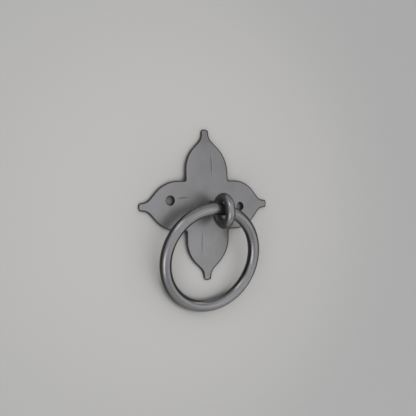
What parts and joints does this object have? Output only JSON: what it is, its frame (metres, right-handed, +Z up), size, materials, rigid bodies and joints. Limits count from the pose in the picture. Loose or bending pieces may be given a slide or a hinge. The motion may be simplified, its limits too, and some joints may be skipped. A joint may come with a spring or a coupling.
{
  "type": "ring drop pull",
  "caption": "Ring drop pull for a drawer or a cupboard door: a dished petalled back plate, an eye riveted at its middle and a plain round ring that swings in the eye.",
  "frame": {"origin": "midway between the centres of the two screw holes, within the sheet there, 2 mm out from the face of the door", "axes": "+Z up, with the ring hanging towards -Z; -Y out of the door towards the user; +X to the right as the user sees it"},
  "size_m": [0.0757, 0.0231, 0.0909],
  "materials": {
    "back_plate": "satin pewter grey, slightly mottled",
    "ring_eye": "satin pewter grey",
    "ring": "smooth satin pewter grey"
  },
  "bodies": {
    "plate": {"back_plate": "back_plate", "ring_eye": "ring_eye"},
    "ring": {"ring": "ring"}
  },
  "joints": [
    {"name": "ring_swing", "type": "hinge", "parent": "plate", "child": "ring", "pos_m": [0.00253, -0.01211, -0.00295], "axis": [-0.9984, 0.0558, 0], "range_deg": [0, 205]}
  ]
}
